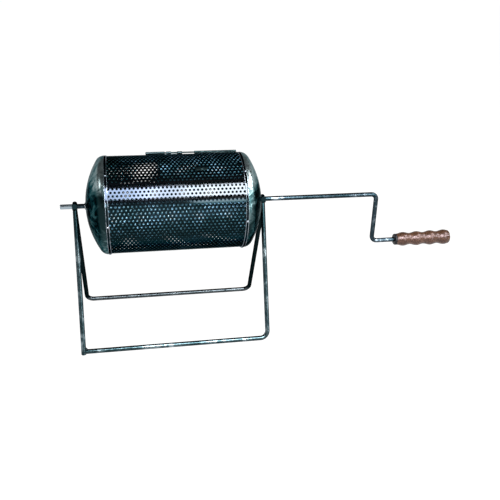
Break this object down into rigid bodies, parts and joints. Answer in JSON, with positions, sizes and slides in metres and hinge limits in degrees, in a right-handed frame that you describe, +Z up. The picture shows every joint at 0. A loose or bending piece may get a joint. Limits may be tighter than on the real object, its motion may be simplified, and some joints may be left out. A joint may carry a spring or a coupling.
{
  "type": "rotary chestnut roaster",
  "caption": "Hand-cranked chestnut roaster: perforated steel drum with domed ends and a hinged door, turning in open saddles on a bent-bar stand, with a wooden grip on the crank.",
  "frame": {"origin": "on the ground, under the middle of the whole part seen from above", "axes": "+X along the shaft towards the crank, +Y towards the rear leg, +Z up"},
  "size_m": [0.8634, 0.2401, 0.3919],
  "materials": {
    "black_bar": "satin",
    "dark_bar": "satin",
    "perforated_steel": "satin",
    "cap_steel": "satin",
    "hinge_steel": "satin",
    "turned_wood": "satin",
    "black_ferrule": "satin"
  },
  "bodies": {
    "stand": {"front_leg": "black_bar", "rear_leg": "black_bar", "left_saddle": "black_bar", "right_saddle": "black_bar"},
    "drum": {"drum_shell": "perforated_steel", "left_cap": "cap_steel", "right_cap": "cap_steel", "left_rivets": "hinge_steel", "right_rivets": "hinge_steel", "crank_shaft": "dark_bar", "left_boss": "hinge_steel", "right_boss": "hinge_steel", "hinge_bracket": "hinge_steel", "hinge_lug": "hinge_steel", "hinge_rod": "hinge_steel", "hinge_rivets": "hinge_steel", "latch_post": "hinge_steel", "end_washer": "hinge_steel", "end_cap": "hinge_steel"},
    "door": {"door_panel": "perforated_steel", "door_knuckle": "hinge_steel", "door_rivets": "hinge_steel"},
    "latch": {"latch_button": "hinge_steel"},
    "grip": {"wood_grip": "turned_wood", "grip_ferrule": "black_ferrule"}
  },
  "joints": [
    {"name": "drum_spin", "type": "hinge", "parent": "stand", "child": "drum", "pos_m": [-0.1997, -0.014, 0.29], "axis": [1, 0, 0], "continuous": true},
    {"name": "door_swing", "type": "hinge", "parent": "drum", "child": "door", "pos_m": [-0.1147, 0.01781, 0.38791], "axis": [-1, 0, 0], "range_deg": [0, 150]},
    {"name": "latch_turn", "type": "hinge", "parent": "drum", "child": "latch", "pos_m": [-0.1487, -0.06546, 0.37807], "axis": [0, -0.5045, 0.8634], "range_deg": [0, 90]},
    {"name": "grip_spin", "type": "hinge", "parent": "drum", "child": "grip", "pos_m": [0.3647, -0.014, 0.178], "axis": [1, 0, 0], "continuous": true}
  ]
}
